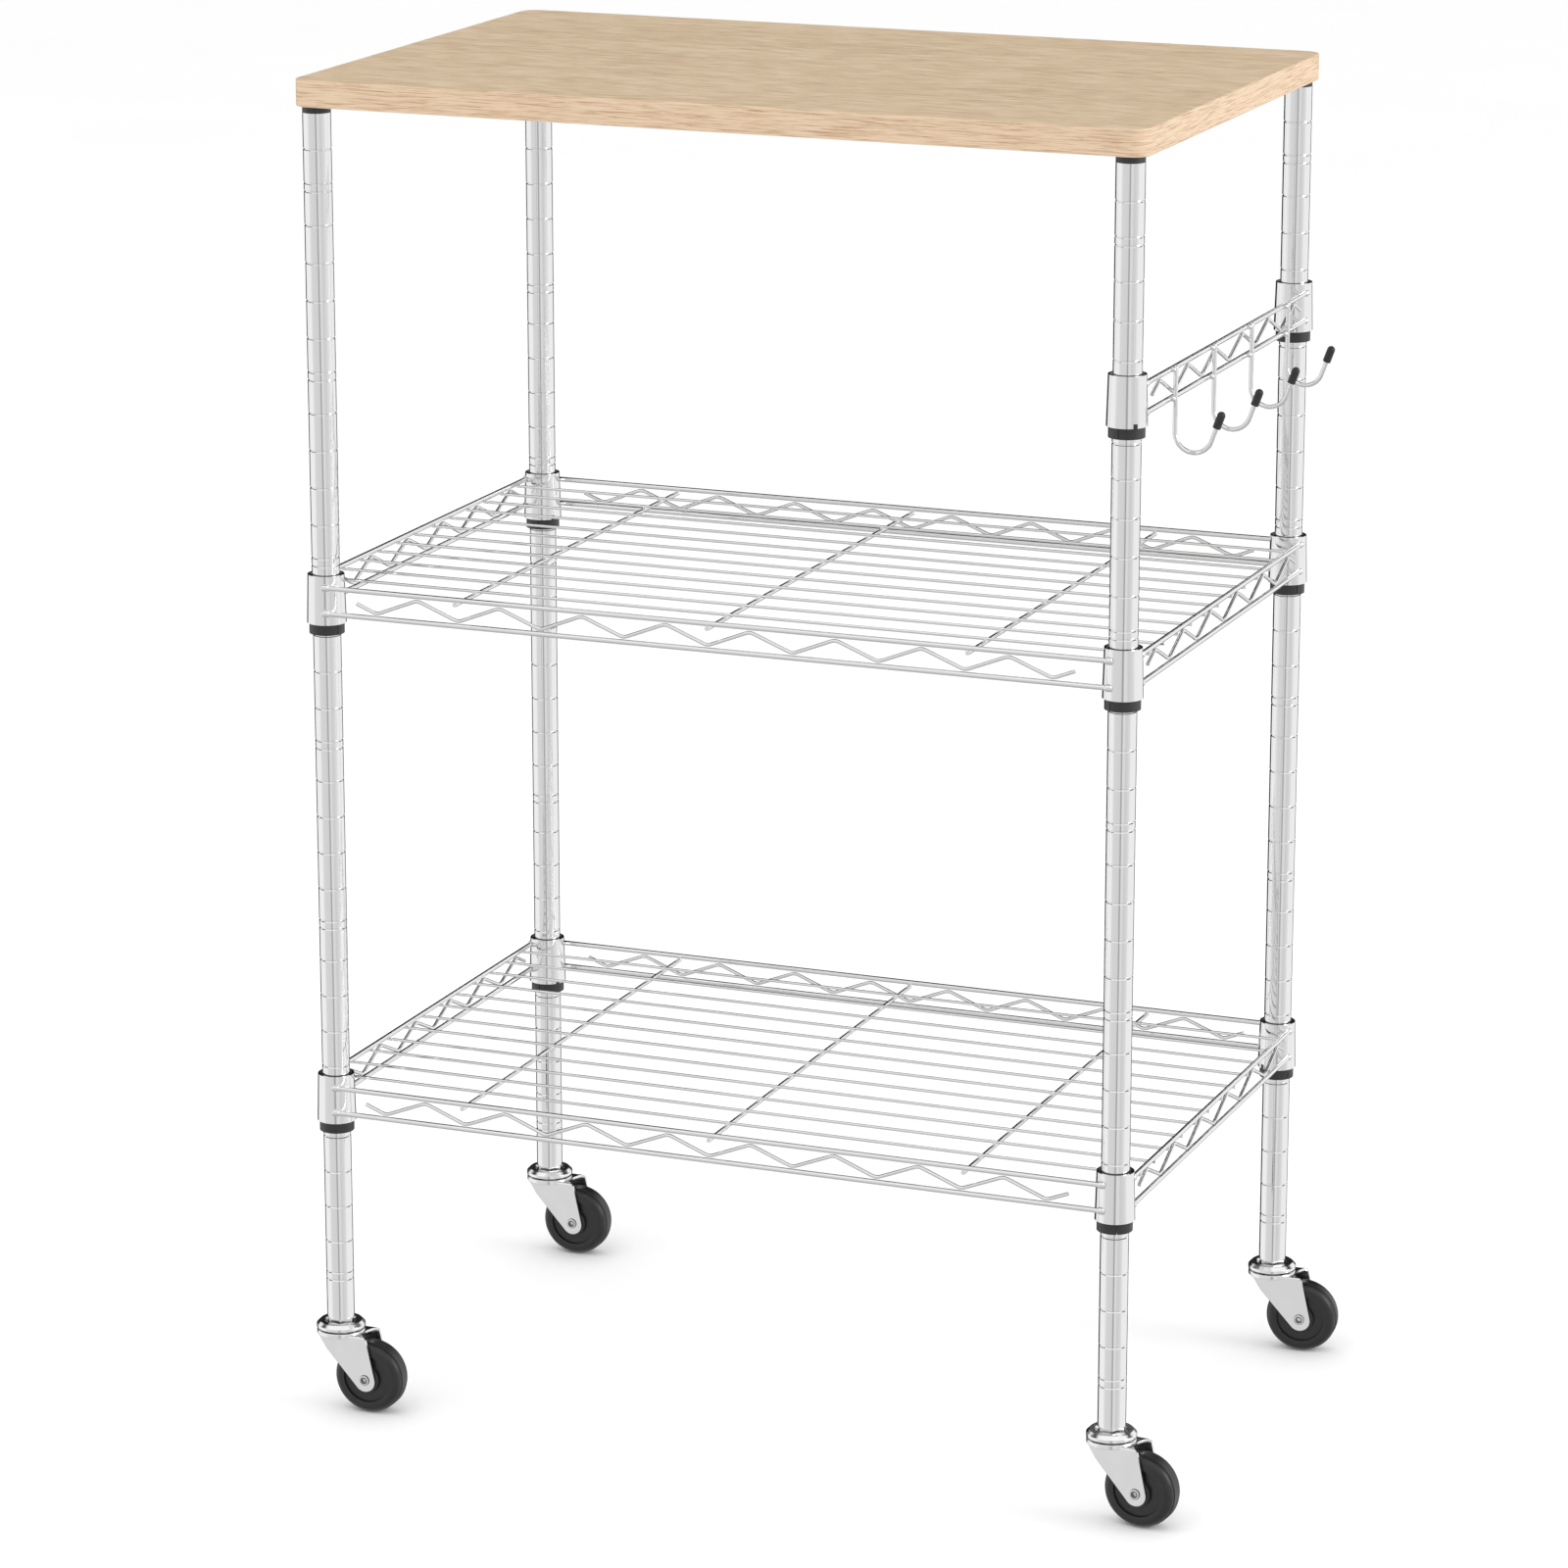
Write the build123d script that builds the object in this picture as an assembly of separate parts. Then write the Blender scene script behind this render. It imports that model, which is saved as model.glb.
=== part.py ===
from build123d import *
from math import acos, atan2, cos, hypot, radians, sin
import os

# Wire shelf cart: four grooved chrome posts on swivel casters, a wood worktop, two wire
# shelves held by tapered collars on split plastic sleeves, and a hook rail on the right side.
# Millimetres. +Z is up with the floor at z = 0, the front faces -Y and the hook rail is at +X.
# The origin is on the floor under the middle of the whole cart's outline.

# Posts: tubes with a rolled groove at every inch, and a pair of grooves at every fifth one
POST_SPACING_X = 566.8
POST_SPACING_Y = 357.3
POST_R = 9.525
POST_WALL = 1.1
POST_BOTTOM = 67.7
POST_TOP = 909.3
GROOVE_DATUM = 910.6
GROOVE_PITCH = 25.4
GROOVE_DEPTH = 0.45
GROOVE_WIDTH = 1.5
GROOVE_PAIR_GAP = 5.5
FIRST_PAIR = 2
PAIR_EVERY = 5

# Worktop
BOARD_X = 594.0
BOARD_Y = 381.0
BOARD_THICKNESS = 18.0
BOARD_BOTTOM = 913.6
BOARD_CORNER_R = 12.0
BOARD_EDGE_R = 0.9
PEG_R = 4.0
PEG_LENGTH = 10.0
PEG_CHAMFER = 0.8
PEG_HOLE_CLEARANCE = 0.1
CAP_PLUG_LENGTH = 18.0

# Collars and split sleeves: heights are measured from the collar's top
COLLAR_HEIGHT = 33.3
COLLAR_TOP_R = 12.5
COLLAR_BOTTOM_R = 13.4
COLLAR_WALL = 1.3
SLEEVE_FLANGE = 7.4
SLEEVE_FLANGE_R = 11.95
SLEEVE_CLEARANCE = 0.05
SLEEVE_SPLIT = 0.5
SLEEVE_TOP_SET_BACK = 0.6
RIDGE_DEPTH = 0.3
RIDGE_HALF_FOOT = 0.5
RIDGE_HALF_TOP = 0.15
RIDGE_BELOW_TOP = 16.3
KEY_SIZE = 3.0
KEY_CLEARANCE = 0.3
KEY_SET_BACK = 0.2
SEAM_TURN = 37.0

# Wires of the shelves and the hook rail
FRAME_WIRE_R = 1.75
ZIGZAG_WIRE_R = 1.25
CROSS_WIRE_R = 1.5
DECK_WIRE_R = 1.0
HOOK_WIRE_R = 1.5
LONG_RAIL_OFFSET = 12.0
SIDE_RAIL_OFFSET = 10.3
RAIL_END_INSET = 5.4
LONG_RAIL_DROP = 7.2
LONG_RAIL_HEIGHT = 17.8
SIDE_RAIL_HEIGHT = 19.0
HOOK_RAIL_DROP = 6.6
ZIGZAG_BEND_R = 8.0
LONG_ZIGZAG_STEP = 30.0
LONG_ZIGZAG_BENDS = 8
SIDE_ZIGZAG_STEP = 29.0
SIDE_ZIGZAG_BENDS = 5
ZIGZAG_TAIL = 15.0
WELD_R = 2.5
WELD_HALF = 2.6
WELD_EDGE_R = 1.2
DECK_WIRES = 12
DECK_PITCH = 29.0
CROSS_WIRE_SPACING = 182.0
WIRE_OVERRUN = 1.4

# Hooks
HOOK_PITCH = 81.0
HOOK_BEND_R = 12.7
HOOK_BEND_DROP = 47.5
HOOK_TIP_ANGLE = 70.0
HOOK_TIP_LENGTH = 19.0
HOOK_CAP_R = 2.7
HOOK_CAP_LENGTH = 11.5
HOOK_CAP_TIP = 2.0
HOOK_CAP_CLEARANCE = 0.02
HOOK_WELD_R = 1.9
HOOK_WELD_IN = 1.2
HOOK_WELD_ASIDE = 1.6
HOOK_LEG_RISE = 1.2

# Casters
TRAIL = 23.0
WHEEL_R = 25.4
WHEEL_HALF_WIDTH = 9.5
HUB_HALF_WIDTH = 10.2
HUB_R = 9.8
AXLE_R = 3.0
AXLE_HEAD_R = 3.8
RUNNING_FIT = 0.08
CHEEK_INNER = 10.5
CHEEK_THICKNESS = 1.8
FORK_NOSE = 12.5
FORK_THROAT = (-5.7, 45.4)
FORK_TAIL = TRAIL + 0.9
FORK_END_R = 7.6
FORK_BEND_R = 1.6
FORK_HOLLOW_R = 16.0
FORK_HOLLOW_START = TRAIL - 5.0
RACE_EDGE_R = 0.9
RACE_WELL_R = CHEEK_INNER - 0.5
AXLE_HEAD_HEIGHT = 1.2
AXLE_HEAD_EDGE_R = 0.9
AXLE_DIMPLE_R = 1.7
AXLE_DIMPLE_DEPTH = 1.5
FORK_PLATE_BOTTOM = 54.7
FORK_PLATE_TOP = 56.5
FORK_RACE_TOP = 57.8
RACE_R = 16.8
BEARING_CAP_R = 17.0
STEM_R = 4.9
HEX_BOTTOM = 62.1
HEX_TOP = 65.7
HEX_ACROSS_FLATS = 16.0
HEX_TURN = -8.0
HEX_CORNER_R = 9.3
HEX_FACE_R = 8.3
HEX_CORNER_DROP = 0.6
STEM_HEAD_R = 6.5
STEM_HEAD_HEIGHT = 2.2
STEM_HEAD_EDGE_R = 0.8
STEM_HEAD_GAP = 0.4
FOOT_FLANGE_SET_BACK = 0.3
FOOT_PLUG_OVERRUN = 2.0
STEM_TOP = POST_BOTTOM + 22.0
STEM_CHAMFER = 1.0
BEARING_CAP_GAP = 1.4
BEARING_CAP_EDGE_R = 0.8
BALLS = 12
BALL_R = 2.0
BALL_CIRCLE_R = 12.9
BALL_HEIGHT = 60.2

# The casters trail to +X, so the cart's outline reaches further right than left: from the
# left bearing caps to the right wheels
LEFT_EDGE = POST_SPACING_X / 2 + BEARING_CAP_R
RIGHT_EDGE = POST_SPACING_X / 2 + TRAIL + WHEEL_R
MIDDLE_X = (LEFT_EDGE - RIGHT_EDGE) / 2
POSTS = {
    "fl": (MIDDLE_X - POST_SPACING_X / 2, -POST_SPACING_Y / 2),
    "fr": (MIDDLE_X + POST_SPACING_X / 2, -POST_SPACING_Y / 2),
    "bl": (MIDDLE_X - POST_SPACING_X / 2, POST_SPACING_Y / 2),
    "br": (MIDDLE_X + POST_SPACING_X / 2, POST_SPACING_Y / 2),
}
CASTER_YAW = {"fl": 0.0, "fr": -6.0, "bl": 0.0, "br": 5.0}

# Each level's sleeves grip one groove, so the collars' tops follow the groove pitch.
# The angles are where the sleeve splits and where its key shows in the collar's notch.
LEVELS = {
    "mid": {
        "groove": 13,
        "shift": 0.0,
        "split": {"fl": -26, "fr": -114, "bl": -82, "br": -38},
        "key": {"fl": 58, "fr": 148, "bl": -32, "br": -122},
    },
    "low": {
        "groove": 27,
        "shift": GROOVE_PAIR_GAP / 2,
        "split": {"fl": 0, "fr": -64, "bl": -98, "br": -30},
        "key": {"fl": 58, "fr": 148, "bl": -32, "br": -122},
    },
    "hook": {
        "groove": 6,
        "shift": 0.0,
        "split": {"fr": -98, "br": 82},
        "key": {"fr": -47, "br": 47},
    },
}


def collar_top(level):
    """Height of a level's collar tops, from the groove that its sleeves grip."""
    data = LEVELS[level]
    groove = GROOVE_DATUM - data["groove"] * GROOVE_PITCH + data["shift"]
    return groove + RIDGE_BELOW_TOP


def turned(points):
    """A solid of revolution about Z from an outline of (radius, height) points."""
    return revolve(Plane.XZ * make_face(Polyline(*points, close=True)), Axis.Z)


def tube(outer, inner, bottom, top):
    return turned([(inner, bottom), (outer, bottom), (outer, top), (inner, top)])


def disc(radius, bottom, top):
    return Pos(0, 0, bottom) * extrude(Circle(radius), top - bottom)


def rod(start, end, radius):
    """A straight round wire between two points."""
    line = Line(start, end)
    return extrude(Plane(origin=start, z_dir=line % 0) * Circle(radius), line.length)


def bent_wire(points, bend_r, radius):
    """A round wire along straight runs joined by tangent arcs."""
    path = FilletPolyline(*points, radius=bend_r)
    return sweep(Plane(origin=path @ 0, z_dir=path % 0) * Circle(radius), path=path)


def save(name, pieces):
    """Write one node: a single solid, or a group of like solids."""
    solids = [solid for piece in pieces for solid in piece.solids()]
    shape = solids[0] if len(solids) == 1 else Compound(children=solids)
    shape.label = name
    export_step(shape, f"parts/{name}.step")


# ---------------------------------------------------------------- posts


def groove_heights():
    """Heights of every rolled groove, from the top of a post down."""
    heights = []
    count = int((GROOVE_DATUM - POST_BOTTOM - GROOVE_WIDTH * 4) / GROOVE_PITCH)
    for index in range(1, count + 1):
        height = GROOVE_DATUM - index * GROOVE_PITCH
        if index % PAIR_EVERY == FIRST_PAIR:
            heights += [height + GROOVE_PAIR_GAP / 2, height - GROOVE_PAIR_GAP / 2]
        else:
            heights.append(height)
    return heights


def make_post():
    outline = [(POST_R - POST_WALL, POST_BOTTOM), (POST_R - POST_WALL, POST_TOP), (POST_R, POST_TOP)]
    floor_half = GROOVE_WIDTH / 5
    for height in groove_heights():
        outline += [
            (POST_R, height + GROOVE_WIDTH / 2),
            (POST_R - GROOVE_DEPTH, height + floor_half),
            (POST_R - GROOVE_DEPTH, height - floor_half),
            (POST_R, height - GROOVE_WIDTH / 2),
        ]
    outline.append((POST_R, POST_BOTTOM))
    return turned(outline)


def make_post_cap():
    """Plastic plug in the post's top, with a flange under the board and a peg up into it."""
    flange = disc(POST_R, POST_TOP, BOARD_BOTTOM)
    plug = disc(POST_R - POST_WALL - SLEEVE_CLEARANCE, POST_TOP - CAP_PLUG_LENGTH, POST_TOP)
    peg = disc(PEG_R, BOARD_BOTTOM, BOARD_BOTTOM + PEG_LENGTH)
    return flange + plug + chamfer(peg.edges().sort_by(Axis.Z)[-1], PEG_CHAMFER)


def make_foot_insert():
    """Threaded steel bush pressed in the post's lower end to take the caster stem."""
    bore = STEM_R + SLEEVE_CLEARANCE
    plug = tube(POST_R - POST_WALL - SLEEVE_CLEARANCE, bore, POST_BOTTOM, STEM_TOP + FOOT_PLUG_OVERRUN)
    return plug + tube(POST_R - FOOT_FLANGE_SET_BACK, bore, HEX_TOP + SLEEVE_CLEARANCE, POST_BOTTOM)


# ---------------------------------------------------------------- worktop


def make_board():
    board = Pos(MIDDLE_X, 0, BOARD_BOTTOM + BOARD_THICKNESS / 2) * Box(BOARD_X, BOARD_Y, BOARD_THICKNESS)
    board = fillet(board.edges().filter_by(Axis.Z), BOARD_CORNER_R)
    rims = board.faces().sort_by(Axis.Z)[-1].edges() + board.faces().sort_by(Axis.Z)[0].edges()
    board = fillet(rims, BOARD_EDGE_R)
    for x, y in POSTS.values():
        hole = disc(PEG_R + PEG_HOLE_CLEARANCE, BOARD_BOTTOM - 1, BOARD_BOTTOM + PEG_LENGTH + 1)
        board -= Pos(x, y) * hole
    return board


# ---------------------------------------------------------------- collars and sleeves


def collar_cone(top):
    """The solid outside shape of a collar, used to cope the wire ends that are welded to it.

    It is turned so that its seam lies clear of the wires.
    """
    bottom = top - COLLAR_HEIGHT
    cone = turned([(0, bottom), (COLLAR_BOTTOM_R, bottom), (COLLAR_TOP_R, top), (0, top)])
    return Rot(0, 0, SEAM_TURN) * cone


def key_block(top, angle, size):
    """A block through the collar's wall at its lower edge."""
    bottom = top - COLLAR_HEIGHT
    block = Pos(COLLAR_BOTTOM_R - 2, 0, bottom + size / 2 - 0.5) * Box(5, size, size + 1)
    return Rot(0, 0, angle) * block


def make_collar(top, key_angle):
    bottom = top - COLLAR_HEIGHT
    collar = turned([
        (COLLAR_BOTTOM_R - COLLAR_WALL, bottom),
        (COLLAR_BOTTOM_R, bottom),
        (COLLAR_TOP_R, top),
        (COLLAR_TOP_R - COLLAR_WALL, top),
    ])
    return collar - key_block(top, key_angle, KEY_SIZE)


def make_sleeve(top, split_angle, key_angle):
    """Tapered sleeve in two halves, with a ridge in the post's groove and a flange below."""
    bottom = top - COLLAR_HEIGHT
    bore = POST_R + SLEEVE_CLEARANCE
    ridge = top - RIDGE_BELOW_TOP
    body = turned([
        (bore, bottom - SLEEVE_FLANGE),
        (SLEEVE_FLANGE_R, bottom - SLEEVE_FLANGE),
        (SLEEVE_FLANGE_R, bottom - SLEEVE_CLEARANCE),
        (COLLAR_BOTTOM_R - COLLAR_WALL - SLEEVE_CLEARANCE, bottom - SLEEVE_CLEARANCE),
        (COLLAR_TOP_R - COLLAR_WALL - SLEEVE_CLEARANCE, top - SLEEVE_TOP_SET_BACK),
        (bore, top - SLEEVE_TOP_SET_BACK),
        (bore, ridge + RIDGE_HALF_FOOT),
        (bore - RIDGE_DEPTH, ridge + RIDGE_HALF_TOP),
        (bore - RIDGE_DEPTH, ridge - RIDGE_HALF_TOP),
        (bore, ridge - RIDGE_HALF_FOOT),
    ])
    outer = tube(COLLAR_BOTTOM_R - KEY_SET_BACK, COLLAR_BOTTOM_R - COLLAR_WALL - 1, bottom, bottom + KEY_SIZE)
    body += outer & key_block(top, key_angle, KEY_SIZE - KEY_CLEARANCE)
    return body - Rot(0, 0, split_angle) * Pos(0, 0, top - 20) * Box(40, SLEEVE_SPLIT, 60)


# ---------------------------------------------------------------- welded wire rails


def place_on_side(shape, side):
    """Turn a rail that was built along the front edge to face one of the four sides."""
    turn = {"front": 0, "right": 90, "back": 180, "left": -90}[side]
    return Pos(MIDDLE_X, 0) * Rot(0, 0, turn) * shape


def make_rail(top, side, drop, height):
    """Two straight wires with a zigzag wire between them, welded end to end between collars."""
    long_side = side in ("front", "back")
    span = POST_SPACING_X if long_side else POST_SPACING_Y
    depth = POST_SPACING_Y if long_side else POST_SPACING_X
    offset = LONG_RAIL_OFFSET if long_side else SIDE_RAIL_OFFSET
    step = LONG_ZIGZAG_STEP if long_side else SIDE_ZIGZAG_STEP
    bends = LONG_ZIGZAG_BENDS if long_side else SIDE_ZIGZAG_BENDS
    half = span / 2
    line_y = -(depth / 2 + offset)
    cones = [Pos(x, -depth / 2) * collar_cone(top) for x in (-half, half)]
    wires = []
    for wire_z in (top - drop, top - drop - height):
        ends = [(x, line_y, wire_z) for x in (-half + RAIL_END_INSET, half - RAIL_END_INSET)]
        wire = rod(ends[0], ends[1], FRAME_WIRE_R)
        for x, y, z in ends:
            bead = rod((x - WELD_HALF, y, z), (x + WELD_HALF, y, z), WELD_R)
            wire += fillet(bead.edges().filter_by(GeomType.CIRCLE), WELD_EDGE_R)
        for cone in cones:
            wire -= cone
        wires.append(wire)
    crest = top - drop - FRAME_WIRE_R - ZIGZAG_WIRE_R
    trough = top - drop - height + FRAME_WIRE_R + ZIGZAG_WIRE_R
    heights = [trough if abs(bend) % 2 == 0 else crest for bend in range(-bends, bends + 1)]
    points = [(bend * step, line_y, z) for bend, z in zip(range(-bends, bends + 1), heights)]
    tail_rise = (heights[1] - heights[0]) * ZIGZAG_TAIL / step
    tail_x = bends * step + ZIGZAG_TAIL
    tail_z = heights[0] + tail_rise
    points = [(-tail_x, line_y, tail_z)] + points + [(tail_x, line_y, tail_z)]
    wires.append(bent_wire(points, ZIGZAG_BEND_R, ZIGZAG_WIRE_R))
    return [place_on_side(wire, side) for wire in wires]


def cross_wire_height(top):
    return top - LONG_RAIL_DROP - FRAME_WIRE_R - CROSS_WIRE_R


def deck_wire_height(top):
    return cross_wire_height(top) + CROSS_WIRE_R + DECK_WIRE_R


def make_cross_wires(top):
    """Wires from front to back, under the long rails and under the deck wires."""
    reach = POST_SPACING_Y / 2 + LONG_RAIL_OFFSET + WIRE_OVERRUN
    z = cross_wire_height(top)
    places = [MIDDLE_X + index * CROSS_WIRE_SPACING for index in (-1, 0, 1)]
    return [rod((x, -reach, z), (x, reach, z), CROSS_WIRE_R) for x in places]


def make_deck_wires(top):
    """Wires from left to right, on the cross wires and under the side rails."""
    reach = POST_SPACING_X / 2 + SIDE_RAIL_OFFSET + WIRE_OVERRUN
    z = deck_wire_height(top)
    places = [(index - (DECK_WIRES - 1) / 2) * DECK_PITCH for index in range(DECK_WIRES)]
    return [rod((MIDDLE_X - reach, y, z), (MIDDLE_X + reach, y, z), DECK_WIRE_R) for y in places]


# ---------------------------------------------------------------- hooks


def hook_points(top, y):
    """Corners and the end of a hook's centre line, in the plane across the rail."""
    leg_x = POSTS["fr"][0] + SIDE_RAIL_OFFSET + FRAME_WIRE_R + HOOK_WIRE_R
    centre = (leg_x + HOOK_BEND_R, top - HOOK_BEND_DROP)
    end_turn = radians(HOOK_TIP_ANGLE - 90)
    bend_end = (centre[0] + HOOK_BEND_R * cos(end_turn), centre[1] + HOOK_BEND_R * sin(end_turn))
    rise = radians(HOOK_TIP_ANGLE)
    tip = (bend_end[0] + HOOK_TIP_LENGTH * cos(rise), bend_end[1] + HOOK_TIP_LENGTH * sin(rise))
    return leg_x, centre, bend_end, tip


def make_hook(top, y, rail_wires):
    """A round wire hook: its leg is welded across the outside of both rail wires."""
    leg_x, centre, bend_end, tip = hook_points(top, y)
    leg_top = (leg_x, y, top - HOOK_RAIL_DROP + HOOK_LEG_RISE)
    leg_end = (leg_x, y, centre[1])
    bottom = (centre[0], y, centre[1] - HOOK_BEND_R)
    bend = ThreePointArc(leg_end, bottom, (bend_end[0], y, bend_end[1]))
    path = Wire([Line(leg_top, leg_end), bend, Line(bend @ 1, (tip[0], y, tip[1]))])
    hook = sweep(Plane(origin=path @ 0, z_dir=path % 0) * Circle(HOOK_WIRE_R), path=path)
    hook += Pos(*leg_top) * Sphere(HOOK_WIRE_R)
    for drop in (HOOK_RAIL_DROP, HOOK_RAIL_DROP + SIDE_RAIL_HEIGHT):
        hook += Pos(leg_x - HOOK_WELD_IN, y - HOOK_WELD_ASIDE, top - drop) * Sphere(HOOK_WELD_R)
    for wire in rail_wires:
        hook -= wire
    return hook


def make_hook_cap(top, y):
    """Rubber cap pushed over the hook's end."""
    _, _, bend_end, tip = hook_points(top, y)
    rise = HOOK_TIP_ANGLE
    wall_end = HOOK_CAP_LENGTH - HOOK_CAP_R
    cap = disc(HOOK_CAP_R, 0, wall_end) + Pos(0, 0, wall_end) * Sphere(HOOK_CAP_R)
    bore_depth = HOOK_CAP_LENGTH - HOOK_CAP_TIP
    cap -= disc(HOOK_WIRE_R + HOOK_CAP_CLEARANCE, -1, bore_depth)
    start = (tip[0] - bore_depth * cos(radians(rise)), y, tip[1] - bore_depth * sin(radians(rise)))
    return Pos(*start) * Rot(0, 90 - rise, 0) * cap


# ---------------------------------------------------------------- casters


def make_stem():
    """Threaded stem with a hexagon, and a shank riveted over under the fork."""
    head_top = FORK_PLATE_TOP - STEM_HEAD_GAP
    shank = disc(STEM_R, head_top, STEM_TOP)
    shank = chamfer(shank.edges().sort_by(Axis.Z)[-1], STEM_CHAMFER)
    hexagon = RegularPolygon(HEX_ACROSS_FLATS / 2, 6, major_radius=False)
    hexagon = Pos(0, 0, HEX_BOTTOM) * Rot(0, 0, HEX_TURN) * extrude(hexagon, HEX_TOP - HEX_BOTTOM)
    hexagon &= turned([
        (0, HEX_BOTTOM), (HEX_FACE_R, HEX_BOTTOM), (HEX_CORNER_R, HEX_BOTTOM + HEX_CORNER_DROP),
        (HEX_CORNER_R, HEX_TOP - HEX_CORNER_DROP), (HEX_FACE_R, HEX_TOP), (0, HEX_TOP),
    ])
    head = disc(STEM_HEAD_R, head_top - STEM_HEAD_HEIGHT, head_top)
    return shank + hexagon + fillet(head.edges().sort_by(Axis.Z)[0], STEM_HEAD_EDGE_R)


def make_bearing_cap():
    """Dished steel cap that roofs the ring of bearing balls."""
    rim = FORK_RACE_TOP + BEARING_CAP_GAP
    hole_r = STEM_R + SLEEVE_CLEARANCE
    crown, wall = HEX_BOTTOM + 1.6, 1.4
    seat_r, ring_inner, ring_outer = 9.4, 11.3, 14.6
    skirt_inner = BEARING_CAP_R - wall
    above = [(hole_r, HEX_BOTTOM), (seat_r, HEX_BOTTOM), (ring_inner, crown), (ring_outer, crown)]
    skirt = [(BEARING_CAP_R, rim + 2.0), (BEARING_CAP_R, rim), (skirt_inner, rim), (skirt_inner, rim + 1.9)]
    below = [
        (ring_outer - 0.6, crown - wall), (ring_inner + 0.7, crown - wall),
        (seat_r + 0.9, HEX_BOTTOM - wall), (hole_r, HEX_BOTTOM - wall),
    ]
    outline = make_face(Polyline(*above, *skirt, *below, close=True))
    rounded = [
        corner for corner in outline.vertices()
        if corner.X > seat_r - 0.1 and corner.Y > HEX_BOTTOM - 0.1 and abs(corner.Y - crown + wall) > 0.01
    ]
    return revolve(Plane.XZ * fillet(rounded, BEARING_CAP_EDGE_R), Axis.Z)


def make_balls():
    ball = Pos(BALL_CIRCLE_R, 0, BALL_HEIGHT) * Sphere(BALL_R)
    return [Rot(0, 0, index * 360 / BALLS) * ball for index in range(BALLS)]


def tangent_point(outside, centre, radius, side):
    """Where the tangent from an outside point touches a circle; side is +1 or -1."""
    away_x, away_z = outside[0] - centre[0], outside[1] - centre[1]
    turn = atan2(away_z, away_x) + side * acos(radius / hypot(away_x, away_z))
    return centre[0] + radius * cos(turn), centre[1] + radius * sin(turn)


def make_fork():
    """Pressed steel fork: a raised ball race on a top plate, and two tapered cheeks."""
    end_centre = (TRAIL + 0.2, WHEEL_R - 0.8)
    front_top, rear_top = (-FORK_NOSE, FORK_PLATE_TOP), (FORK_TAIL, FORK_PLATE_TOP)
    front_tangent = tangent_point(FORK_THROAT, end_centre, FORK_END_R, 1)
    rear_tangent = tangent_point(rear_top, end_centre, FORK_END_R, -1)
    end_bottom = (end_centre[0], end_centre[1] - FORK_END_R)
    outline = Polyline(rear_tangent, rear_top, front_top, FORK_THROAT, front_tangent)
    end = ThreePointArc(front_tangent, end_bottom, rear_tangent)
    cheek = Plane.XZ * make_face(outline + end)
    outer = CHEEK_INNER + CHEEK_THICKNESS
    cheeks = [extrude(Pos(0, y, 0) * cheek, -CHEEK_THICKNESS) for y in (-outer, CHEEK_INNER)]
    body = cheeks[0] + cheeks[1]
    plate_height = FORK_PLATE_TOP - FORK_PLATE_BOTTOM
    plate = Pos((FORK_TAIL - FORK_NOSE) / 2, 0, (FORK_PLATE_TOP + FORK_PLATE_BOTTOM) / 2)
    body += plate * Box(FORK_TAIL + FORK_NOSE, 2 * outer, plate_height)
    bends = body.edges().filter_by(Axis.X).sort_by(Axis.Z)[-2:]
    body = fillet(bends, FORK_BEND_R)
    hollow = disc(FORK_HOLLOW_R, FORK_PLATE_BOTTOM - 0.01, FORK_PLATE_TOP + 1)
    body -= Pos(FORK_HOLLOW_START + FORK_HOLLOW_R, 0) * hollow
    race = disc(RACE_R, FORK_PLATE_BOTTOM, FORK_RACE_TOP)
    race = fillet(race.edges().sort_by(Axis.Z)[-1], RACE_EDGE_R)
    body += race
    body -= disc(RACE_WELL_R, FORK_PLATE_BOTTOM - 1, FORK_PLATE_TOP)
    body -= disc(STEM_R + RUNNING_FIT, FORK_PLATE_BOTTOM, FORK_RACE_TOP + 1)
    axle_hole = Pos(TRAIL, 0, WHEEL_R) * Rot(90, 0, 0) * Cylinder(AXLE_R + 0.01, 2 * outer + 2)
    return body - axle_hole


def make_axle():
    """Tubular rivet through the cheeks, with a rolled head on each side."""
    outer = CHEEK_INNER + CHEEK_THICKNESS
    axle = Cylinder(AXLE_R, 2 * outer)
    for side in (-1, 1):
        head = Pos(0, 0, side * (outer + AXLE_HEAD_HEIGHT / 2)) * Cylinder(AXLE_HEAD_R, AXLE_HEAD_HEIGHT)
        rim = head.edges().sort_by(Axis.Z)[0 if side < 0 else -1]
        axle += fillet(rim, AXLE_HEAD_EDGE_R)
        dimple = Cylinder(AXLE_DIMPLE_R, 2 * AXLE_DIMPLE_DEPTH)
        axle -= Pos(0, 0, side * (outer + AXLE_HEAD_HEIGHT)) * dimple
    return Pos(TRAIL, 0, WHEEL_R) * Rot(90, 0, 0) * axle


def make_wheel():
    """Hard rubber wheel: raised hub, recessed web, and a rounded tread with a raised band."""
    bore = AXLE_R + RUNNING_FIT
    band, band_half, web_r, web_half, shoulder_r = 0.5, 3.6, 17.0, 7.9, 5.4
    side = [
        (bore, HUB_HALF_WIDTH), (HUB_R, HUB_HALF_WIDTH), (HUB_R + 0.4, web_half),
        (web_r - 0.4, web_half), (web_r, WHEEL_HALF_WIDTH), (WHEEL_R - band, WHEEL_HALF_WIDTH),
        (WHEEL_R - band, band_half + 0.2), (WHEEL_R, band_half),
    ]
    outline = make_face(Polyline(*side, *[(r, -w) for r, w in reversed(side)], close=True))
    shoulders = [
        corner for corner in outline.vertices()
        if corner.X > web_r + 1 and abs(corner.Y) > WHEEL_HALF_WIDTH - 0.1
    ]
    outline = fillet(shoulders, shoulder_r)
    wheel = revolve(Plane.XZ * outline, Axis.Z)
    return Pos(TRAIL, 0, WHEEL_R) * Rot(90, 0, 0) * wheel


# ---------------------------------------------------------------- the whole cart

os.makedirs("parts", exist_ok=True)

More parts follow.
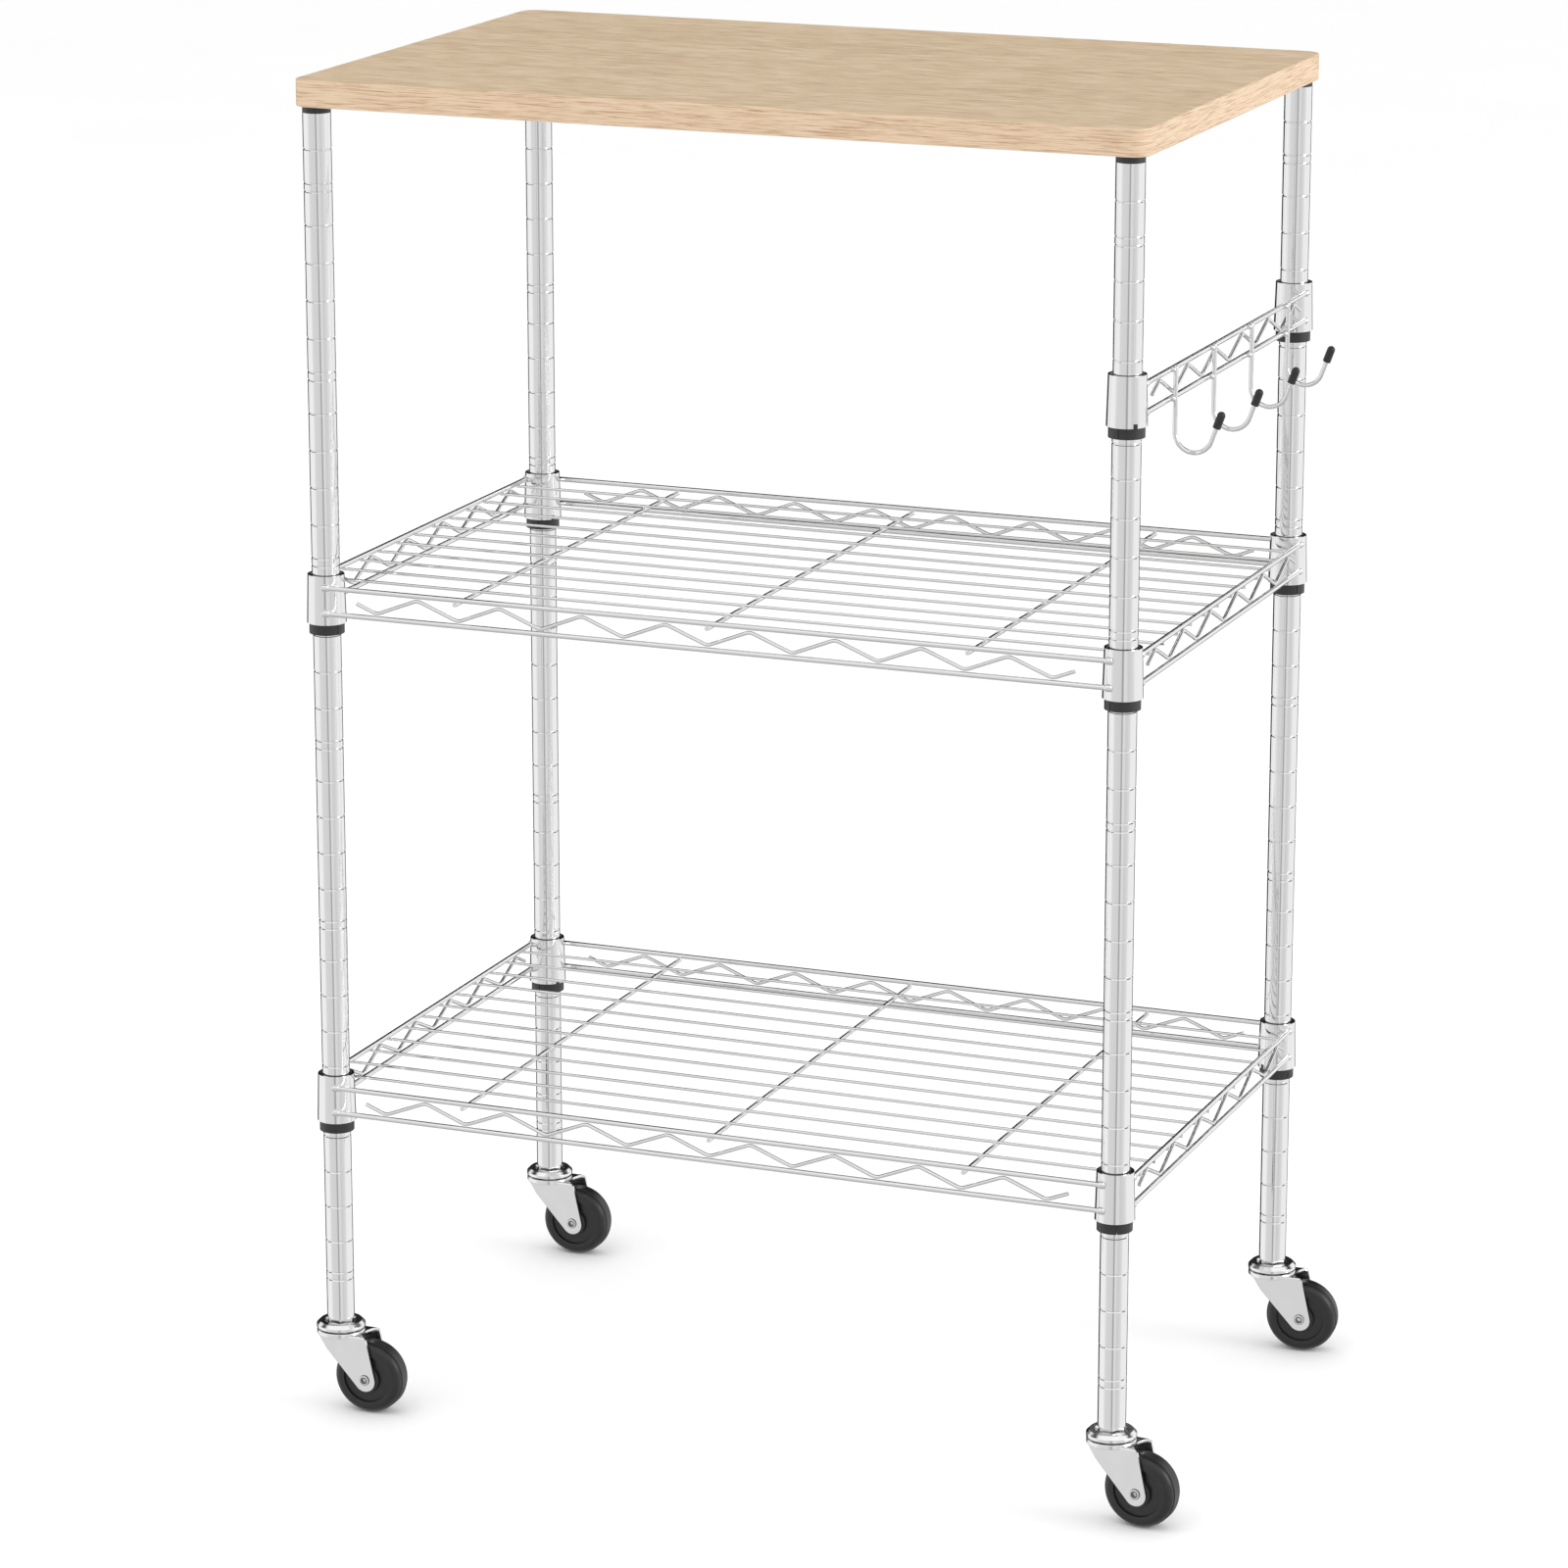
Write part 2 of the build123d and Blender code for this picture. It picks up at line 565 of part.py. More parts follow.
save("top_board", [make_board()])
post, post_cap, foot_insert = make_post(), make_post_cap(), make_foot_insert()
for corner, (x, y) in POSTS.items():
    save(f"post_{corner}", [Pos(x, y) * post])
save("post_caps", [Pos(x, y) * post_cap for x, y in POSTS.values()])
save("post_foot_inserts", [Pos(x, y) * foot_insert for x, y in POSTS.values()])

for level in ("mid", "low"):
    top = collar_top(level)
    side_drop = top - deck_wire_height(top) - DECK_WIRE_R - FRAME_WIRE_R
    for side in ("front", "back"):
        save(f"{level}_{side}_rail", make_rail(top, side, LONG_RAIL_DROP, LONG_RAIL_HEIGHT))
    for side in ("left", "right"):
        save(f"{level}_{side}_rail", make_rail(top, side, side_drop, SIDE_RAIL_HEIGHT))
    save(f"{level}_deck_wires", make_deck_wires(top))
    save(f"{level}_cross_wires", make_cross_wires(top))

hook_top = collar_top("hook")
hook_rail = make_rail(hook_top, "right", HOOK_RAIL_DROP, SIDE_RAIL_HEIGHT)
save("hook_rail", hook_rail)
hook_places = [(index - 1.5) * HOOK_PITCH for index in range(4)]
for number, y in enumerate(hook_places, start=1):
    save(f"hook_{number}", [make_hook(hook_top, y, hook_rail)])
save("hook_caps", [make_hook_cap(hook_top, y) for y in hook_places])

for level, data in LEVELS.items():
    top = collar_top(level)
    sleeves = []
    for corner, key_angle in data["key"].items():
        place = Pos(*POSTS[corner])
        save(f"{level}_collar_{corner}", [place * make_collar(top, key_angle)])
        sleeves.append(place * make_sleeve(top, data["split"][corner], key_angle))
    save(f"{level}_split_sleeves", sleeves)

stem, bearing_cap, fork, axle, wheel = make_stem(), make_bearing_cap(), make_fork(), make_axle(), make_wheel()
balls = []
for corner, (x, y) in POSTS.items():
    place = Pos(x, y)
    turned_place = place * Rot(0, 0, CASTER_YAW[corner])
    save(f"caster_{corner}_stem", [place * stem])
    save(f"caster_{corner}_bearing_cap", [place * bearing_cap])
    save(f"caster_{corner}_fork", [turned_place * fork])
    save(f"caster_{corner}_axle", [turned_place * axle])
    save(f"caster_{corner}_wheel", [turned_place * wheel])
    balls += [place * ball for ball in make_balls()]
save("bearing_balls", balls)
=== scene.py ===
import bmesh
import bpy
import math
from mathutils import Matrix, Vector


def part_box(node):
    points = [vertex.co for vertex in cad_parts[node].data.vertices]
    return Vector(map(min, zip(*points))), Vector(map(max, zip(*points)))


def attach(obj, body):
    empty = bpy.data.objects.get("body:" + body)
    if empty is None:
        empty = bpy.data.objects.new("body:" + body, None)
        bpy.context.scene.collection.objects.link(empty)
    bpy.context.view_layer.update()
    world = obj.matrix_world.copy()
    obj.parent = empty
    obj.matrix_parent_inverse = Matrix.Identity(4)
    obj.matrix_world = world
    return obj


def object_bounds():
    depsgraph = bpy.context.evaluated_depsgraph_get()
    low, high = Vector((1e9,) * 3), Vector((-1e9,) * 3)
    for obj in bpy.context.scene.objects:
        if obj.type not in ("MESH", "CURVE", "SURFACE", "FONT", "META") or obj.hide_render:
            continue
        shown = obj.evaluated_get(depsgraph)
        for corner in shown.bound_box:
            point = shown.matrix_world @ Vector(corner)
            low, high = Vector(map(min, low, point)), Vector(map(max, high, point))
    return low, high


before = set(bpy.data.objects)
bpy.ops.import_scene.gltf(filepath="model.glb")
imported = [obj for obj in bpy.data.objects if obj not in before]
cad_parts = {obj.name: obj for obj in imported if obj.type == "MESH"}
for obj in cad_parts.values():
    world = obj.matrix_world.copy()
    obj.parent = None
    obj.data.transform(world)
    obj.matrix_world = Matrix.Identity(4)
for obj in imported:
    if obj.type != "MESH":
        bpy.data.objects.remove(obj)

cad_low, cad_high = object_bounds()


# ---------------------------------------------------------------- worktop
# The worktop is a pressed board faced with an oak-grained laminate and edged with a matching
# band that is glued round it. It lies on the post caps, whose pegs enter its underside.

def linear(hex_colour):
    """An sRGB hex colour as the linear colour that a shader takes."""
    parts = [int(hex_colour[place:place + 2], 16) / 255 for place in (1, 3, 5)]
    return [part / 12.92 if part <= 0.04045 else ((part + 0.055) / 1.055) ** 2.4 for part in parts] + [1.0]


def add(tree, kind, settings=(), links=()):
    """Add a shader node: settings are attributes or sockets, and links go from (node, output)."""
    node = tree.nodes.new("ShaderNode" + kind)
    for name, value in dict(settings).items():
        if isinstance(name, str) and hasattr(node, name):
            setattr(node, name, value)
        else:
            node.inputs[name].default_value = value
    for name, (source, output) in dict(links).items():
        tree.links.new(source.outputs[output], node.inputs[name])
    return node


def grain_of(*sizes_mm):
    """Mapping scale for a pattern whose features have these sizes along x, y and z."""
    return [1000 / size for size in sizes_mm]


def start_material(name):
    """A new material with its node tree and its shader."""
    material = bpy.data.materials.new(name)
    material.use_nodes = True
    return material, material.node_tree, material.node_tree.nodes["Principled BSDF"]


def join(tree, source, output, shader, socket):
    """Feed one node's output into a socket of the shader."""
    tree.links.new(source.outputs[output], shader.inputs[socket])


def finish_with(material, *node_names):
    """Give these pieces of the CAD model one finish."""
    for node_name in node_names:
        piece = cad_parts[node_name]
        piece.data.materials.clear()
        piece.data.materials.append(material)


def oak_laminate():
    """Melamine laminate printed as oak: satin, pale, with long fine streaks and short dark pores.

    The edge band is the same print, a little pinker, with its grain along the edge, and the
    underside has a plain pale backing sheet.
    """
    material, tree, shader = start_material("oak_grained_melamine_laminate")
    places = add(tree, "TexCoord")
    # Real oak pores are a quarter of a millimetre wide, which is too fine to show, so the streaks
    # and the pores are drawn several times coarser.
    face_grain = add(tree, "Mapping", {"Scale": grain_of(25, 2.4, 25)}, {"Vector": (places, "Object")})
    edge_grain = add(tree, "Mapping", {"Scale": grain_of(25, 25, 0.7)}, {"Vector": (places, "Object")})
    streaks = add(tree, "TexNoise", {"Scale": 1.0, "Detail": 5.0, "Roughness": 0.62, "Distortion": 0.25},
                  {"Vector": (face_grain, "Vector")})
    edge_streaks = add(tree, "TexNoise",
                       {"Scale": 1.0, "Detail": 5.0, "Roughness": 0.66, "Distortion": 0.3},
                       {"Vector": (edge_grain, "Vector")})
    broad = add(tree, "Mapping", {"Scale": grain_of(450, 38, 250)}, {"Vector": (places, "Object")})
    bands = add(tree, "TexNoise", {"Scale": 1.0, "Detail": 2.0, "Distortion": 0.9},
                {"Vector": (broad, "Vector")})
    short = add(tree, "Mapping", {"Scale": grain_of(14, 1.9, 14)}, {"Vector": (places, "Object")})
    pores = add(tree, "TexNoise", {"Scale": 1.0, "Detail": 2.0}, {"Vector": (short, "Vector")})
    blend = add(tree, "Mix", {"data_type": "FLOAT", "Factor": 0.16},
                {2: (streaks, "Fac"), 3: (bands, "Fac")})
    face_colour = add(tree, "ValToRGB", {}, {"Fac": (blend, 0)})
    for stop, colour in zip((0.38, 0.5, 0.6), ("#bda284", "#cdb697", "#d6c2a5")):
        element = face_colour.color_ramp.elements.new(stop)
        element.color = linear(colour)
    for end in (0, -1):
        face_colour.color_ramp.elements.remove(face_colour.color_ramp.elements[end])
    pore_mask = add(tree, "MapRange", {"From Min": 0.66, "From Max": 0.74, "To Max": 0.34},
                    {"Value": (pores, "Fac")})
    face = add(tree, "Mix", {"data_type": "RGBA", 7: linear("#a58a68")},
               {0: (pore_mask, "Result"), 6: (face_colour, "Color")})
    edge = add(tree, "ValToRGB", {}, {"Fac": (edge_streaks, "Fac")})
    for stop, colour in zip((0.36, 0.46, 0.55), ("#b08e6f", "#cfb191", "#dcc2a5")):
        element = edge.color_ramp.elements.new(stop)
        element.color = linear(colour)
    for end in (0, -1):
        edge.color_ramp.elements.remove(edge.color_ramp.elements[end])
    facing = add(tree, "SeparateXYZ", {}, {"Vector": (places, "Normal")})
    tilt = add(tree, "Math", {"operation": "ABSOLUTE"}, {0: (facing, "Z")})
    flat_enough = 0.72
    is_face = add(tree, "Math", {"operation": "GREATER_THAN", 1: flat_enough}, {0: (tilt, 0)})
    band_or_face = add(tree, "Mix", {"data_type": "RGBA"},
                       {0: (is_face, 0), 6: (edge, "Color"), 7: (face, 2)})
    is_under = add(tree, "Math", {"operation": "LESS_THAN", 1: -flat_enough}, {0: (facing, "Z")})
    colour = add(tree, "Mix", {"data_type": "RGBA", 7: linear("#dad7d2")},
                 {0: (is_under, 0), 6: (band_or_face, 2)})
    join(tree, colour, 2, shader, "Base Color")
    sheen = add(tree, "MapRange", {"To Min": 0.4, "To Max": 0.56}, {"Value": (streaks, "Fac")})
    join(tree, sheen, "Result", shader, "Roughness")
    shader.inputs["IOR"].default_value = 1.5
    relief = add(tree, "Bump", {"Strength": 0.25, "Distance": 0.0001}, {"Height": (blend, 0)})
    join(tree, relief, "Normal", shader, "Normal")
    return material


finish_with(oak_laminate(), "top_board")


# ---------------------------------------------------------------- posts
# Each post is a thin steel tube, rolled with a groove at every inch and chrome plated. It stands
# on its caster and carries the worktop, and the shelves grip its grooves.

def chrome(name, line_sizes_mm, dullest):
    """Bright chrome plate over nickel on steel: a near mirror that the steel's own drawing lines,
    handling haze and faint pits soften a little."""
    material, tree, shader = start_material(name)
    shader.inputs["Base Color"].default_value = linear("#ededee")
    shader.inputs["Metallic"].default_value = 1.0
    places = add(tree, "TexCoord")
    drawn = add(tree, "Mapping", {"Scale": grain_of(*line_sizes_mm)}, {"Vector": (places, "Object")})
    lines = add(tree, "TexNoise", {"Scale": 1.0, "Detail": 3.0}, {"Vector": (drawn, "Vector")})
    haze = add(tree, "TexNoise", {"Scale": 1000 / 18, "Detail": 4.0, "Roughness": 0.6},
               {"Vector": (places, "Object")})
    wear = add(tree, "Math", {"operation": "MULTIPLY"}, {0: (lines, "Fac"), 1: (haze, "Fac")})
    dull = add(tree, "MapRange", {"From Min": 0.1, "From Max": 0.45, "To Min": 0.045, "To Max": dullest},
               {"Value": (wear, 0)})
    join(tree, dull, "Result", shader, "Roughness")
    relief = add(tree, "Bump", {"Strength": 0.06, "Distance": 0.00005}, {"Height": (lines, "Fac")})
    join(tree, relief, "Normal", shader, "Normal")
    return material


post_names = [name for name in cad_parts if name.startswith("post_") and len(name) == len("post_fl")]
finish_with(chrome("chrome_plated_drawn_tube", (1.1, 1.1, 110), 0.11), *post_names)


# ---------------------------------------------------------------- post caps and split sleeves
# The caps that close the posts and the two-part tapered sleeves that wedge the collars are
# moulded in black nylon. Only a cap's flange and a sleeve's lower band and top rim show.

def black_nylon():
    """Injection moulded nylon: near black, with the mould's fine spark texture and rubbed patches."""
    material, tree, shader = start_material("black_moulded_nylon")
    places = add(tree, "TexCoord")
    texture = add(tree, "TexNoise", {"Scale": 1000 / 0.55, "Detail": 2.0}, {"Vector": (places, "Object")})
    nylon_rubbing_and_rivet_painted_shade = add(tree, "TexNoise", {"Scale": 1000 / 8, "Detail": 3.0}, {"Vector": (places, "Object")})
    colour = add(tree, "Mix", {"data_type": "RGBA", 6: linear("#19191a"), 7: linear("#29292b")},
                 {0: (nylon_rubbing_and_rivet_painted_shade, "Fac")})
    join(tree, colour, 2, shader, "Base Color")
    sheen = add(tree, "MapRange", {"To Min": 0.3, "To Max": 0.5}, {"Value": (nylon_rubbing_and_rivet_painted_shade, "Fac")})
    join(tree, sheen, "Result", shader, "Roughness")
    shader.inputs["IOR"].default_value = 1.53
    relief = add(tree, "Bump", {"Strength": 0.2, "Distance": 0.00005}, {"Height": (texture, "Fac")})
    join(tree, relief, "Normal", shader, "Normal")
    return material


sleeve_names = [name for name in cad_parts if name.endswith("_split_sleeves")]
finish_with(black_nylon(), "post_caps", *sleeve_names)


# ---------------------------------------------------------------- collars
# The collars are short tapered steel sockets, pressed and chrome plated with the wires already
# welded on. Each one slides down over its sleeve and locks there.

collar_names = [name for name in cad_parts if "_collar_" in name]
finish_with(chrome("chrome_plated_pressed_collar", (4, 4, 16), 0.14), *collar_names)


# ---------------------------------------------------------------- shelf and rail wires
# Each shelf is resistance welded from round drawn wire: two straight wires and a zigzag on every
# side, three cross wires, and the deck wires on top. It is plated after welding.

wire_chrome = chrome("chrome_plated_drawn_wire", (3.3, 3.3, 3.3), 0.09)
wire_names = [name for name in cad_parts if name.endswith(("_rail", "_deck_wires", "_cross_wires"))]
finish_with(wire_chrome, *wire_names)


# ---------------------------------------------------------------- weld nuggets
# Where two wires were pressed together and welded, a small bead of steel squeezes out. The
# beads sit at every crossing of deck and cross wires, and of cross wires and long rails.

def weld_nuggets(name, level):
    """One mesh of the beads at a shelf's crossings."""
    bead_r, flatten = 0.00135, 0.72
    deck_low, deck_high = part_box(f"{level}_deck_wires")
    cross_low, cross_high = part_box(f"{level}_cross_wires")
    rail_low, rail_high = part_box(f"{level}_front_rail")
    deck_wires, cross_wires = 12, 3
    deck_r = (deck_high.z - deck_low.z) / 2
    cross_r = (cross_high.z - cross_low.z) / 2
    deck_step = (deck_high.y - deck_low.y - 2 * deck_r) / (deck_wires - 1)
    cross_step = (cross_high.x - cross_low.x - 2 * cross_r) / (cross_wires - 1)
    rail_y = (rail_low.y + rail_high.y) / 2
    shape = bmesh.new()
    for cross in range(cross_wires):
        x = cross_low.x + cross_r + cross * cross_step
        ys = [deck_low.y + deck_r + deck * deck_step for deck in range(deck_wires)]
        for y in ys + [rail_y, -rail_y]:
            turn = Matrix.Translation((x, y, cross_high.z)) @ Matrix.Diagonal((1, 1, flatten, 1))
            bmesh.ops.create_icosphere(shape, subdivisions=2, radius=bead_r, matrix=turn)
    mesh = bpy.data.meshes.new(name)
    shape.to_mesh(mesh)
    shape.free()
    mesh.shade_smooth()
    beads = bpy.data.objects.new(name, mesh)
    bpy.context.scene.collection.objects.link(beads)
    mesh.materials.append(wire_chrome)
    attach(beads, "cart")


weld_nuggets("mid_weld_nuggets", "mid")
weld_nuggets("low_weld_nuggets", "low")


# ---------------------------------------------------------------- hooks
# Four wire hooks are welded across the outside of the side rail and plated with it. Each one
# ends in a dipped rubber cap.

def dipped_rubber():
    """Soft black rubber: dull, slightly dusty, with a skin that is not quite even."""
    material, tree, shader = start_material("black_dipped_rubber")
    places = add(tree, "TexCoord")
    skin = add(tree, "TexNoise", {"Scale": 1000 / 1.4, "Detail": 4.0}, {"Vector": (places, "Object")})
    colour = add(tree, "Mix", {"data_type": "RGBA", 6: linear("#161617"), 7: linear("#262627")},
                 {0: (skin, "Fac")})
    join(tree, colour, 2, shader, "Base Color")
    shader.inputs["Roughness"].default_value = 0.46
    shader.inputs["IOR"].default_value = 1.52
    relief = add(tree, "Bump", {"Strength": 0.3, "Distance": 0.0001}, {"Height": (skin, "Fac")})
    join(tree, relief, "Normal", shader, "Normal")
    return material


finish_with(wire_chrome, "hook_1", "hook_2", "hook_3", "hook_4")
finish_with(dipped_rubber(), "hook_caps")


# ---------------------------------------------------------------- caster frames
# Fork, bearing cap, stem and rivet are pressed or turned steel, tumbled and bright zinc plated,
# so they are paler and softer than the chrome. The balls and the bushes are hidden inside.

def zinc_plate():
    """Bright zinc over tumbled steel: a pale, even satin with faint pits and a clouded sheen."""
    material, tree, shader = start_material("bright_zinc_plated_steel")
    shader.inputs["Metallic"].default_value = 1.0
    places = add(tree, "TexCoord")
    cloud = add(tree, "TexNoise", {"Scale": 1000 / 11, "Detail": 5.0, "Roughness": 0.6},
                {"Vector": (places, "Object")})
    pits = add(tree, "TexNoise", {"Scale": 1000 / 0.9, "Detail": 3.0}, {"Vector": (places, "Object")})
    colour = add(tree, "Mix", {"data_type": "RGBA", 6: linear("#e8e8e9"), 7: linear("#f6f6f6")},
                 {0: (cloud, "Fac")})
    join(tree, colour, 2, shader, "Base Color")
    sheen = add(tree, "MapRange", {"To Min": 0.1, "To Max": 0.22}, {"Value": (cloud, "Fac")})
    join(tree, sheen, "Result", shader, "Roughness")
    rolled_edges = add(tree, "Bevel", {"samples": 6, "Radius": 0.0004})
    relief = add(tree, "Bump", {"Strength": 0.12, "Distance": 0.00005},
                 {"Height": (pits, "Fac"), "Normal": (rolled_edges, "Normal")})
    join(tree, relief, "Normal", shader, "Normal")
    return material


def rolled_rivet(name, middle):
    """Zinc plate on a rivet rolled over by machine, with painted shade: a dark grey ring is painted on
    its rim and the wall of its dimple, and the ring round it and the floor of the dimple keep the plain
    plate."""
    material, tree, shader = start_material(name)
    shader.inputs["Metallic"].default_value = 1.0
    # Distances from the rivet's middle: the dimple's floor lies within the first, the plain ring round
    #     the dimple lies past the second, and the painted shade ring lies between them.
    dimple_floor, light_ring = 0.0122, 0.01372
    places = add(tree, "TexCoord")
    pits = add(tree, "TexNoise", {"Scale": 1000 / 0.7, "Detail": 3.0}, {"Vector": (places, "Object")})
    reach = add(tree, "VectorMath", {"operation": "DISTANCE", 1: middle}, {0: (places, "Object")})
    past_floor = add(tree, "Math", {"operation": "GREATER_THAN", 1: dimple_floor}, {0: (reach, "Value")})
    on_ring = add(tree, "Math", {"operation": "GREATER_THAN", 1: light_ring}, {0: (reach, "Value")})
    # Between those two distances the colour is painted shade: a dark grey ring on the rim and the dimple
    # wall.
    nylon_rubbing_and_rivet_painted_shade = add(tree, "Math", {"operation": "SUBTRACT"}, {0: (past_floor, 0), 1: (on_ring, 0)})
    colour = add(tree, "Mix", {"data_type": "RGBA", 6: linear("#dededf"), 7: linear("#6a6a6d")},
                 {0: (nylon_rubbing_and_rivet_painted_shade, 0)})
    join(tree, colour, 2, shader, "Base Color")
    sheen = add(tree, "MapRange", {"To Min": 0.12, "To Max": 0.3}, {"Value": (pits, "Fac")})
    join(tree, sheen, "Result", shader, "Roughness")
    relief = add(tree, "Bump", {"Strength": 0.15, "Distance": 0.00005}, {"Height": (pits, "Fac")})
    join(tree, relief, "Normal", shader, "Normal")
    return material


steel_ends = ("_fork", "_stem", "_bearing_cap")
steel_names = [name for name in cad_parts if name.startswith("caster_") and name.endswith(steel_ends)]
finish_with(zinc_plate(), "bearing_balls", "post_foot_inserts", *steel_names)
# Each rivet gets its own material, centred on it, that carries its painted dark shade ring.
for corner in ("fl", "fr", "bl", "br"):
    rivet_low, rivet_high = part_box(f"caster_{corner}_axle")
    rivet_middle = (rivet_low + rivet_high) / 2
    finish_with(rolled_rivet(f"zinc_rivet_painted_shade_ring_{corner}", rivet_middle), f"caster_{corner}_axle")


# ---------------------------------------------------------------- wheels
# The wheels are moulded in one piece from hard grey-black rubber, with a raised hub, a sunk web
# and a rounded tread. They turn on the rivets.

def hard_rubber():
    """Moulded hard rubber: charcoal with a soft sheen, dusty in the hollows and scuffed outside."""
    material, tree, shader = start_material("hard_moulded_rubber")
    places = add(tree, "TexCoord")
    scuffs = add(tree, "TexNoise", {"Scale": 1000 / 6, "Detail": 6.0, "Roughness": 0.65, "Distortion": 0.6},
                 {"Vector": (places, "Object")})
    grain = add(tree, "TexNoise", {"Scale": 1000 / 0.67, "Detail": 2.0}, {"Vector": (places, "Object")})
    colour = add(tree, "Mix", {"data_type": "RGBA", 6: linear("#101011"), 7: linear("#232324")},
                 {0: (scuffs, "Fac")})
    join(tree, colour, 2, shader, "Base Color")
    sheen = add(tree, "MapRange", {"To Min": 0.26, "To Max": 0.46}, {"Value": (scuffs, "Fac")})
    join(tree, sheen, "Result", shader, "Roughness")
    shader.inputs["IOR"].default_value = 1.52
    relief = add(tree, "Bump", {"Strength": 0.15, "Distance": 0.00006}, {"Height": (grain, "Fac")})
    join(tree, relief, "Normal", shader, "Normal")
    return material


finish_with(hard_rubber(), *[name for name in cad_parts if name.endswith("_wheel")])


# ---------------------------------------------------------------- studio
# A pale sweep of floor, a wide light overhead and one on the right. The chrome mirrors the room:
# white walls with a grey strip in front, a dark opening behind, and a ceiling that darkens to it.

view_azimuth, view_elevation = math.radians(21.83), math.radians(14.93)
look = Vector((
    -math.sin(view_azimuth) * math.cos(view_elevation),
    math.cos(view_azimuth) * math.cos(view_elevation),
    -math.sin(view_elevation),
))
aim, distance = Vector((-0.0379, 0, 0.4313)), 4.1055
lens = bpy.data.cameras.new("studio_camera")
lens.sensor_width, lens.lens = 36.0, 136.06
lens.clip_start, lens.clip_end = 0.1, 200.0
camera = bpy.data.objects.new("studio_camera", lens)
camera.location = aim - look * distance
camera.rotation_euler = (math.pi / 2 - view_elevation, 0, view_azimuth)
bpy.context.scene.collection.objects.link(camera)
bpy.context.scene.camera = camera

floor_half = 30.0
floor_mesh = bpy.data.meshes.new("studio_floor")
corners = [(-1, -1), (1, -1), (1, 1), (-1, 1)]
floor_mesh.from_pydata([(x * floor_half, y * floor_half, 0) for x, y in corners], [], [(0, 1, 2, 3)])
floor = bpy.data.objects.new("studio_floor", floor_mesh)
floor.visible_glossy = False
bpy.context.scene.collection.objects.link(floor)
paper, paper_tree, paper_shader = start_material("white_seamless_paper")
paper_places = add(paper_tree, "TexCoord")
paper_fibre = add(paper_tree, "TexNoise", {"Scale": 3.0, "Detail": 3.0},
                  {"Vector": (paper_places, "Object")})
paper_colour = add(paper_tree, "Mix", {"data_type": "RGBA", 6: linear("#f6f6f6"), 7: linear("#f9f9f9")},
                   {0: (paper_fibre, "Fac")})
join(paper_tree, paper_colour, 2, paper_shader, "Base Color")
paper_shader.inputs["Roughness"].default_value = 0.9
paper_shader.inputs["Specular IOR Level"].default_value = 0.2
floor_mesh.materials.append(paper)

room = bpy.data.worlds.new("studio_room")
bpy.context.scene.world = room
room.use_nodes = True
room_tree = room.node_tree
room_tree.nodes.clear()
direction = add(room_tree, "TexCoord")
turned = add(room_tree, "VectorRotate", {"rotation_type": "Z_AXIS", "Angle": -view_azimuth},
             {"Vector": (direction, "Generated")})
parts = add(room_tree, "SeparateXYZ", {}, {"Vector": (turned, "Vector")})
forward = add(room_tree, "Math", {"operation": "MULTIPLY", 1: -1.0}, {0: (parts, "Y")})
bearing = add(room_tree, "Math", {"operation": "ARCTAN2"}, {0: (parts, "X"), 1: (forward, 0)})
around = add(room_tree, "MapRange", {"From Min": -math.pi, "From Max": math.pi}, {"Value": (bearing, 0)})
walls = add(room_tree, "ValToRGB", {}, {"Fac": (around, "Result")})
# Each pair is a bearing in degrees from the front of the room and the wall's brightness there.
wall_steps = (
    (-140, 0.01), (-131, 1.0), (-78, 1.0), (-62, 0.78), (-12, 0.74), (-8, 0.42), (-1, 0.42), (4, 0.84),
    (18, 0.8), (28, 0.7), (56, 0.8), (70, 0.98), (144, 1.0), (152, 0.01),
)
ramp = walls.color_ramp
for angle, brightness in wall_steps:
    element = ramp.elements.new((angle + 180) / 360)
    element.color = (brightness, brightness, brightness, 1)
ramp.elements[0].color = ramp.elements[-1].color = (0.01, 0.01, 0.01, 1)
